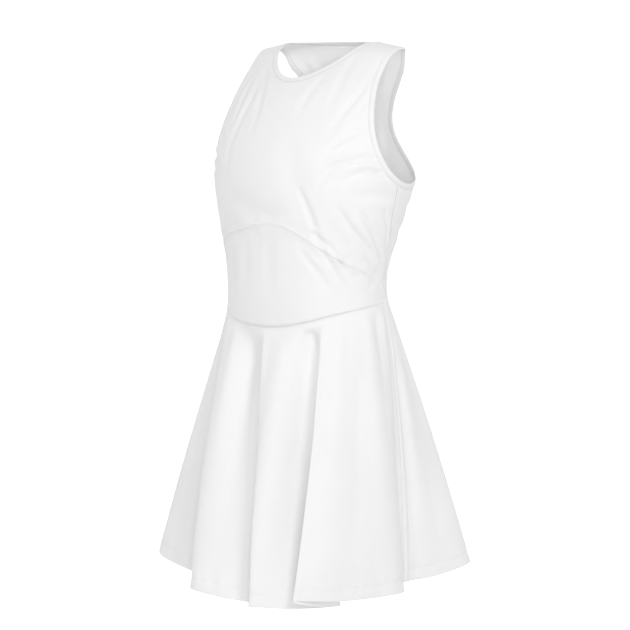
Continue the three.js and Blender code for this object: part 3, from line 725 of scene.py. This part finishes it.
STEPS_A_FOLD = 22
SKIRT_ROWS = 94
WAIST_ROWS = 12
WAIST_BAND = 0.05
WAIST_BLEND = 0.03
HEM_ROWS = 22
HEM_EASE = 0.015
FLAT_RADIUS = 220.0
FLAT_SHARE = 0.51
Ripple = namedtuple("Ripple", "start end width top bottom height")
RIPPLES = [
    Ripple(-84, -82, 5, 0.05, 1.1, 3.5), Ripple(-68, -66, 4, 0.1, 1.1, -3),
    Ripple(-51, -62, 4.4, 0.06, 1.15, -6.5), Ripple(-42, -36, 5, 0.0, 1.0, 3),
    Ripple(-29, -26, 5, 0.02, 0.9, 3), Ripple(-14, -27, 9, 0.01, 1.2, -19),
    Ripple(-1, 6, 3.2, 0.01, 0.9, 4), Ripple(13, 13, 4.5, 0.05, 0.9, 2.5),
    Ripple(30, 12, 7, 0.02, 1.25, -15), Ripple(33, 24, 5, 0.02, 1.15, -4),
    Ripple(31, 35, 3.6, 0.03, 0.15, -5), Ripple(41, 42, 3.2, 0.02, 0.4, 2.5),
    Ripple(46, 47, 2.6, 0.1, 0.9, -1.6), Ripple(53, 52, 4.5, 0.02, 1.1, 3.4),
    Ripple(66, 62, 4.5, 0.2, 1.05, -2.6), Ripple(76, 75, 4.5, 0, 0.9, 2.6),
    Ripple(86, 84, 4, 0.02, 0.8, -3.4), Ripple(94, 95, 3.5, 0, 0.9, 2.6),
    Ripple(108, 109, 3.5, 0.2, 1.15, -4), Ripple(112, 112, 5, 0.1, 1, 3),
    Ripple(125, 127, 5, 0.05, 0.9, -4), Ripple(138, 139, 5, 0, 0.8, 3.5),
    Ripple(150, 150, 5, 0.02, 0.7, -4.5), Ripple(161, 161, 5, 0.1, 1, 3),
    Ripple(172, 170, 5, 0.2, 1, -3), Ripple(183, 184, 5, 0, 0.8, 3.5),
    Ripple(194, 194, 5, 0.02, 0.7, -4), Ripple(206, 207, 5, 0.1, 1, 3), Ripple(218, 216, 5, 0.1, 1, -3),
    Ripple(229, 229, 5, 0, 0.8, 3), Ripple(247, 249, 6, 0.05, 1, -3.5),
]


RIPPLE_START = 0.1


def ripple_push(turn, down):
    """Soft rounds and hollows that lead into the folds from the waist."""
    push = np.zeros(np.broadcast(turn, down).shape)
    for ripple in RIPPLES:
        share = np.clip((down - ripple.top) / (ripple.bottom - ripple.top), 0, 1)
        gap = (turn - ripple.start - (ripple.end - ripple.start) * share + 180) % 360 - 180
        along = np.sin(np.pi / 2 * np.clip(share / RIPPLE_START, 0, 1)) * (1 - share ** 3)
        push += ripple.height * along * np.exp(-(gap / ripple.width) ** 2)
    return push


HEM_SEED = 11
HEM_GROOVE = 0.45
HEM_PUCKER = 0.8
HEM_PUCKER_TURN = 1.6
HEM_FULLNESS = 0.2


def hem_relief(turn, height):
    """The turned hem: a groove along its stitches, puckers about it and a full lower edge."""
    dice = np.random.default_rng(HEM_SEED)
    knots = np.arange(-110, 262, HEM_PUCKER_TURN)
    wave = np.interp(turn, knots, dice.uniform(-1, 1, len(knots)))
    from_stitches = height - HEM_DEPTH
    push = -HEM_GROOVE * np.exp(-(from_stitches / 2) ** 2)
    push += HEM_PUCKER * wave * np.exp(-(from_stitches / 10) ** 2)
    return push + HEM_FULLNESS * np.exp(-((height - 7) / 6) ** 2)


SIDE_RIDGE = 0.8
SIDE_RIDGE_WIDTH = 2.6
SIDE_GROOVE = 0.5
SIDE_GROOVE_AT = 4.6
SIDE_GROOVE_WIDTH = 1.8


def side_relief(place):
    """The side seam, along a panel's first column: its turned edges make a low ridge and a groove."""
    steps = np.linalg.norm(np.diff(place, axis=0), axis=-1)
    distance = np.concatenate([np.zeros((1, place.shape[1])), np.cumsum(steps, 0)])
    ridge = SIDE_RIDGE * np.exp(-(distance / SIDE_RIDGE_WIDTH) ** 4)
    return ridge - SIDE_GROOVE * np.exp(-((distance - SIDE_GROOVE_AT) / SIDE_GROOVE_WIDTH) ** 2)


def skirt_cloth(name, first, last):
    stops = [row.turn for row in FOLDS_ROUND if first <= row.turn <= last]
    turns = spread(stops, [STEPS_A_FOLD] * (len(stops) - 1))
    hem = 1 - HEM_DEPTH / LENGTHS[0].length
    downs = np.concatenate([
        np.linspace(0, WAIST_BAND, WAIST_ROWS, endpoint=False),
        np.linspace(WAIST_BAND, hem - HEM_EASE, SKIRT_ROWS, endpoint=False),
        np.linspace(hem - HEM_EASE, 1, HEM_ROWS),
    ])
    place, out = skirt(turns, downs)
    place[:, 0] = waist_edge(turns)
    length = smooth(LENGTHS_ROUND, "turn", "length", turns)[:, None]
    push = ripple_push(turns[:, None], downs[None, :])
    push += hem_relief(turns[:, None], (1 - downs[None, :]) * length)
    push += side_relief(place) + side_relief(place[::-1])[::-1]
    flat_radius = FLAT_RADIUS + downs[None, :] * length
    flat_angle = np.radians(turns - (first + last) / 2)[:, None] * FLAT_SHARE
    weave = np.stack([flat_radius * np.sin(flat_angle), -flat_radius * np.cos(flat_angle)], -1)
    top = np.exp(-(downs / WAIST_BLEND) ** 2)[None, :, None]
    out = unit(out * (1 - top) + waist_edge(turns, bodice_out)[:, None] * top)
    wall = np.broadcast_to(np.where(downs >= hem, HEM_WALL, JERSEY_WALL), push.shape)
    columns, lines = push.shape
    faces = quads(np.arange(columns * lines).reshape(columns, lines))[:, ::-1]
    flat_place = place.reshape(-1, 3)
    flat_out = out.reshape(-1, 3)
    lift = push.ravel() + seam_relief(flat_place, waist_line, WAIST)
    return cloth(
        name, flat_place + flat_out * lift[:, None], flat_out, faces, wall.ravel(),
        weave.reshape(-1, 2), jersey,
    )


skirt_front = skirt_cloth("skirt_front_cloth", -105, 105)
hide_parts("skirt_front")
skirt_back = skirt_cloth("skirt_back_cloth", 105, 255)
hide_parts("skirt_back")

# The neck and both armholes are bound with a narrow strip of the same jersey with elastic in it,
# folded over the raw edge and stitched down. It stands a little proud and rolls into the opening.
Rail = namedtuple("Rail", "across depth")
BINDING_SECTION = [
    Rail(1, -0.1), Rail(0.96, -0.5), Rail(0.86, -0.65), Rail(0.74, -0.45), Rail(0.6, -0.7), Rail(0.4, -0.75),
    Rail(0.2, -0.65), Rail(0.07, -0.3), Rail(0, 0.4), Rail(0.02, 1.1), Rail(0.12, 1.7), Rail(0.35, 1.9),
    Rail(0.7, 1.9), Rail(0.97, 1.85), Rail(1, 1.4),
]
TOP_RAIL = 4
RAIL_GAP = 1.4
binding = new_material(
    "white_binding", (0.88, 0.88, 0.884), (0.855, 0.855, 0.861), 0.78, 0.15, 0.6, 0.6, 0.5,
)


def bound_edge(name, edge, on_ridge, side, node):
    rails = []
    for across, depth in BINDING_SECTION:
        rail = edge if across == 0 else inset(edge, on_ridge, side * BINDING_WIDTH * across)
        place, out = bodice(*rail.T), bodice_out(*rail.T)
        rails.append(place - out * depth)
    points = np.stack(rails)
    count, around_edge = points.shape[:2]
    at = np.arange(count * around_edge).reshape(count, around_edge)
    next_rail, next_step = np.roll(at, -1, 0), np.roll(at, -1, 1)
    faces = np.stack([at, next_rail, np.roll(next_rail, -1, 1), next_step], -1).reshape(-1, 4)
    if side < 0:
        faces = faces[:, ::-1]
    piece = new_piece(name, points.reshape(-1, 3), faces.tolist(), binding)
    length = np.linalg.norm(np.roll(points[TOP_RAIL], -1, 0) - points[TOP_RAIL], axis=1)
    tape = np.empty((count, around_edge, 2))
    tape[..., 0] = np.cumsum(length) - length
    tape[..., 1] = np.arange(count)[:, None] * RAIL_GAP
    lay_threads(piece, tape.reshape(-1, 2))
    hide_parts(node)
    return piece


neck_strip = bound_edge("neck_binding_strip", NECK, NECK_RIDGE, 1, "neck_binding")
left_strip = bound_edge(
    "armhole_binding_left_strip", ARMHOLE, ARMHOLE_RIDGE, -1, "armhole_binding_left",
)
right_strip = bound_edge(
    "armhole_binding_right_strip", mirrored(ARMHOLE), ARMHOLE_RIDGE, 1, "armhole_binding_right",
)

# The stitches are of white thread. The seams under the bust and at the waist have twin rows with
# threads laid across the join between them, the hem has twin rows, and each binding has one row.
THREAD_RADIUS = 0.28
Ring = namedtuple("Ring", "share lift girth")
STITCH_RINGS = [
    Ring(0, -0.15, 0.3), Ring(0.12, 0.08, 0.85), Ring(0.5, 0.2, 1), Ring(0.88, 0.08, 0.85),
    Ring(1, -0.15, 0.3),
]
STITCH_SIDES = 6
STITCH_SHARE = 0.72
RAY_ABOVE = 9.0
RAY_LENGTH = 16.0
ROW_END = 2
HEM_BAND = 0.94
HEM_BAND_STEPS = 24
SEAM_ROW = 3.5
SEAM_PITCH = 3.0
HEM_ROW_HEIGHTS = (15, 18)
BINDING_ROW = BINDING_WIDTH - 1.7
BINDING_PITCH = 2.6
LADDER_REACH = 2.4
LADDER_PITCH = 1.0
LADDER_ARCH = 1.3
thread = bpy.data.materials.new("white_thread")
thread.use_nodes = True
thread_nodes, thread_links = thread.node_tree.nodes, thread.node_tree.links
thread_shader = thread_nodes["Principled BSDF"]
set_inputs(thread_shader, {"Roughness": 0.5})
thread_spot = thread_nodes.new("ShaderNodeTexCoord")
thread_grain = thread_nodes.new("ShaderNodeTexNoise")
set_inputs(thread_grain, {"Scale": 900})
thread_tone = thread_nodes.new("ShaderNodeValToRGB")
thread_tone.color_ramp.elements[0].color = (0.83, 0.83, 0.835, 1)
thread_tone.color_ramp.elements[1].color = (0.9, 0.9, 0.905, 1)
thread_links.new(thread_spot.outputs["Object"], thread_grain.inputs["Vector"])
thread_links.new(thread_grain.outputs["Fac"], thread_tone.inputs["Fac"])
thread_links.new(thread_tone.outputs["Color"], thread_shader.inputs["Base Color"])


def beside(rows, distance):
    """Moves an open line of turns and ups across the cloth, to the left of its run."""
    turn, up = rows.T
    place = bodice(turn, up)
    across, upward, out = slopes(turn, up)
    aside = np.cross(out, unit(np.gradient(place, axis=0))) * distance
    turn_step, up_step = on_surface(aside, across, upward)
    return np.stack([turn + turn_step, up + up_step], -1)


def on_cloth(pieces, spots, outs):
    """The outer face of the cloth under each spot, in millimetres, and its direction there."""
    trees = [BVHTree.FromObject(piece, bpy.context.evaluated_depsgraph_get()) for piece in pieces]
    found, faced = spots.copy(), outs.copy()
    missed = np.ones(len(spots), bool)
    for i, (spot, out) in enumerate(zip(spots, outs)):
        start = Vector((spot + out * RAY_ABOVE) * MM)
        hits = [tree.ray_cast(start, Vector(-out), RAY_LENGTH * MM) for tree in trees]
        hits = [hit for hit in hits if hit[0] is not None]
        if hits:
            place, normal = min(hits, key=lambda hit: hit[3])[:2]
            found[i], faced[i], missed[i] = np.array(place) / MM, np.array(normal), False
    return found, faced, missed


def at_lengths(line, length, wanted):
    return np.stack([np.interp(wanted, length, line[:, k]) for k in range(3)], -1)


def sewn(name, rows, pieces, pitch, node):
    """Rows of running stitches on the pieces that they lie on, as one piece."""
    starts, ends, normals = [], [], []
    for places, outs in rows:
        length = lengths_along(places)
        begin = np.arange(0, length[-1] - pitch, pitch)
        spots = np.concatenate([begin, begin + pitch * STITCH_SHARE])
        at, faced = at_lengths(places, length, spots), unit(at_lengths(outs, length, spots))
        found, faced, missed = on_cloth(pieces, at, faced)
        half = len(begin)
        kept = ~(missed[:half] | missed[half:])
        starts.append(found[:half][kept])
        ends.append(found[half:][kept])
        normals.append(unit(faced[:half] + faced[half:])[kept])
    return capsules(
        name, np.concatenate(starts), np.concatenate(ends), np.concatenate(normals), 1, node,
    )


def capsules(name, start, end, normal, arch, node):
    """Short lengths of thread with sunk ends, as one piece."""
    aside = unit(np.cross(end - start, normal))
    turn = np.arange(STITCH_SIDES) * 2 * math.pi / STITCH_SIDES
    rings = []
    for ring in STITCH_RINGS:
        middle = start + (end - start) * ring.share + normal * ring.lift * (arch if ring.lift > 0 else 1)
        rim = normal[:, None] * np.cos(turn)[None, :, None] + aside[:, None] * np.sin(turn)[None, :, None]
        rings.append(middle[:, None] + rim * THREAD_RADIUS * ring.girth)
    points = np.stack(rings, 1)
    count, levels = points.shape[:2]
    at = np.arange(count * levels * STITCH_SIDES).reshape(count, levels, STITCH_SIDES)
    turned = np.roll(at, -1, 2)
    walls = np.stack([at[:, :-1], turned[:, :-1], turned[:, 1:], at[:, 1:]], -1).reshape(-1, 4).tolist()
    caps = at[:, 0, ::-1].tolist() + at[:, -1].tolist()
    piece = new_piece(name, points.reshape(-1, 3), walls + caps, thread)
    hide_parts(node)
    return piece


def bodice_row(rows, distance):
    moved = beside(rows, distance)
    return bodice(*moved.T), bodice_out(*moved.T)


def hem_row(turns, height):
    """A row of places on the skirt at a height above its hem."""
    length = smooth(LENGTHS_ROUND, "turn", "length", turns)
    place, out = skirt(turns, np.linspace(HEM_BAND, 1, HEM_BAND_STEPS + 1))
    spot = (1 - height / length - HEM_BAND) / (1 - HEM_BAND) * HEM_BAND_STEPS
    low = spot.astype(int)
    share = (spot - low)[:, None]
    order = np.arange(len(turns))
    return (
        place[order, low] * (1 - share) + place[order, low + 1] * share,
        unit(out[order, low] * (1 - share) + out[order, low + 1] * share),
    )


def ladder(name, rows, pieces, node):
    """Threads laid across a seam, each a little slanted, from one row of stitches towards the other."""
    far_side, _ = bodice_row(rows, LADDER_REACH)
    near_side, outs = bodice_row(rows, -LADDER_REACH)
    length = lengths_along(near_side)
    begin = np.arange(LADDER_PITCH, length[-1] - LADDER_PITCH, LADDER_PITCH)
    low = at_lengths(near_side, length, begin)
    high = at_lengths(far_side, length, begin + LADDER_PITCH / 3)
    faced = unit(at_lengths(outs, length, begin))
    low, low_out, low_missed = on_cloth(pieces, low, faced)
    high, high_out, high_missed = on_cloth(pieces, high, faced)
    kept = ~(low_missed | high_missed)
    faced = unit(low_out + high_out)[kept]
    return capsules(name, low[kept], high[kept], faced, LADDER_ARCH, node)


bust_rows = bust_seam(np.linspace(front_turns[0] + ROW_END, front_turns[-1] - ROW_END, 300))
bust_stitches = sewn(
    "bust_seam_stitches", [bodice_row(bust_rows, SEAM_ROW), bodice_row(bust_rows, -SEAM_ROW)],
    [front, midriff], SEAM_PITCH, "front_bodice",
)
bust_threads = ladder("bust_seam_threads", bust_rows, [front, midriff], "front_bodice")
waist_rows = seam_places(WAIST_ROUND, np.linspace(-180, 180, 500))
waist_pieces = [midriff, back, skirt_front, skirt_back]
waist_stitches = sewn(
    "waist_seam_stitches", [bodice_row(waist_rows, SEAM_ROW), bodice_row(waist_rows, -SEAM_ROW)],
    waist_pieces, SEAM_PITCH, "front_midriff",
)
waist_threads = ladder("waist_seam_threads", waist_rows, waist_pieces, "front_midriff")
front_hem = sewn(
    "skirt_front_hem_stitches",
    [hem_row(np.linspace(-104.5, 104.5, 1500), height) for height in HEM_ROW_HEIGHTS],
    [skirt_front], SEAM_PITCH, "skirt_front",
)
back_hem = sewn(
    "skirt_back_hem_stitches",
    [hem_row(np.linspace(105.5, 254.5, 1200), height) for height in HEM_ROW_HEIGHTS],
    [skirt_back], SEAM_PITCH, "skirt_back",
)


def ring_row(edge, on_ridge, distance):
    rail = inset(edge, on_ridge, distance)
    rail = np.concatenate([rail, rail[:1]])
    return bodice(*rail.T), bodice_out(*rail.T)


neck_stitches = sewn(
    "neck_stitches", [ring_row(NECK, NECK_RIDGE, BINDING_ROW)], [neck_strip], BINDING_PITCH,
    "neck_binding",
)
left_stitches = sewn(
    "armhole_left_stitches", [ring_row(ARMHOLE, ARMHOLE_RIDGE, -BINDING_ROW)], [left_strip],
    BINDING_PITCH, "armhole_binding_left",
)
right_stitches = sewn(
    "armhole_right_stitches", [ring_row(mirrored(ARMHOLE), ARMHOLE_RIDGE, BINDING_ROW)], [right_strip],
    BINDING_PITCH, "armhole_binding_right",
)

# A plain pale floor of matt paper lies well below the dress, and behind it a bright white sheet
# turns up into a wall. Neither is part of the dress.
FLOOR_Z = -1.35
BACKDROP_TURN = math.radians(38)
HALF_WIDTH = 40.0
BEND_STEPS = 12
BEND_RADIUS = 1.5


def studio_sheet(name, profile, whiteness, glow):
    """A sheet of paper across the view, along a profile of distances and heights."""
    ahead = (-math.sin(BACKDROP_TURN), math.cos(BACKDROP_TURN))
    points = [
        (ahead[0] * far + ahead[1] * side, ahead[1] * far - ahead[0] * side, FLOOR_Z + height)
        for far, height in profile for side in (-HALF_WIDTH, HALF_WIDTH)
    ]
    faces = [(2 * i, 2 * i + 1, 2 * i + 3, 2 * i + 2) for i in range(len(profile) - 1)]
    mesh = bpy.data.meshes.new(name)
    mesh.from_pydata(points, [], faces)
    mesh.shade_smooth()
    paper = bpy.data.materials.new(name)
    paper.use_nodes = True
    set_inputs(paper.node_tree.nodes["Principled BSDF"], {
        "Base Color": (whiteness, whiteness, whiteness, 1), "Roughness": 0.9,
        "Emission Color": (1, 1, 1, 1), "Emission Strength": glow,
    })
    mesh.materials.append(paper)
    sheet = bpy.data.objects.new(name, mesh)
    bpy.context.scene.collection.objects.link(sheet)


studio_sheet("pale_floor", [(-6.0, 0.0), (1.0, 0.0)], 0.8, 0.0)
bends = [math.pi / 2 * step / BEND_STEPS for step in range(BEND_STEPS + 1)]
rising = [
    (3.0 + BEND_RADIUS * math.sin(bend), BEND_RADIUS - BEND_RADIUS * math.cos(bend)) for bend in bends
]
studio_sheet("white_wall", [(1.0, 0.0), *rising, (4.5, 6.0)], 0.95, 0.5)
world = bpy.data.worlds.new("studio")
world.use_nodes = True
set_inputs(world.node_tree.nodes["Background"], {"Color": (1, 1, 1, 1), "Strength": 0.58})
bpy.context.scene.world = world
bpy.context.scene.view_settings.view_transform = "Standard"

# The lights are soft and round: the key above the camera and to its right, a fill just behind it,
# one from the dress's other side and a faint one overhead.
AIM = Vector((0, -0.042, -0.4))


def aimed(name, data, target, azimuth, elevation, distance):
    """Places a lamp or a camera round a target, and turns it to face it."""
    azimuth, elevation = math.radians(azimuth), math.radians(elevation)
    back_to = Vector((
        math.sin(azimuth) * math.cos(elevation), -math.cos(azimuth) * math.cos(elevation),
        math.sin(elevation),
    ))
    holder = bpy.data.objects.new(name, data)
    holder.location = target + back_to * distance
    holder.rotation_mode = "QUATERNION"
    holder.rotation_quaternion = (-back_to).to_track_quat("-Z", "Y")
    bpy.context.scene.collection.objects.link(holder)
    return holder


Lamp = namedtuple("Lamp", "name azimuth elevation distance size power")
LAMPS = [
    Lamp("key", 58, 33, 2.6, 0.7, 14.5),
    Lamp("fill", 38, 5, 3.2, 0.5, 22),
    Lamp("top", 30, 62, 2.4, 0.9, 3),
    Lamp("left", -40, 16, 3.0, 1.2, 6.5),
]
for lamp in LAMPS:
    light = bpy.data.lights.new(lamp.name, "AREA")
    light.shape = "DISK"
    light.size = lamp.size
    light.energy = lamp.power
    aimed(lamp.name, light, AIM, lamp.azimuth, lamp.elevation, lamp.distance)

# The camera stands level with the shoulders, to the wearer's left of the front, and looks at the
# middle of the dress from three metres.
CAMERA_AZIMUTH = 38
CAMERA_ELEVATION = 7
CAMERA_TARGET = Vector((0, -0.042, -0.403))
CAMERA_DISTANCE = 3.0
camera = bpy.data.cameras.new("camera")
camera.sensor_width = 36
camera.lens = 116.6
bpy.context.scene.camera = aimed(
    "camera", camera, CAMERA_TARGET, CAMERA_AZIMUTH, CAMERA_ELEVATION, CAMERA_DISTANCE,
)
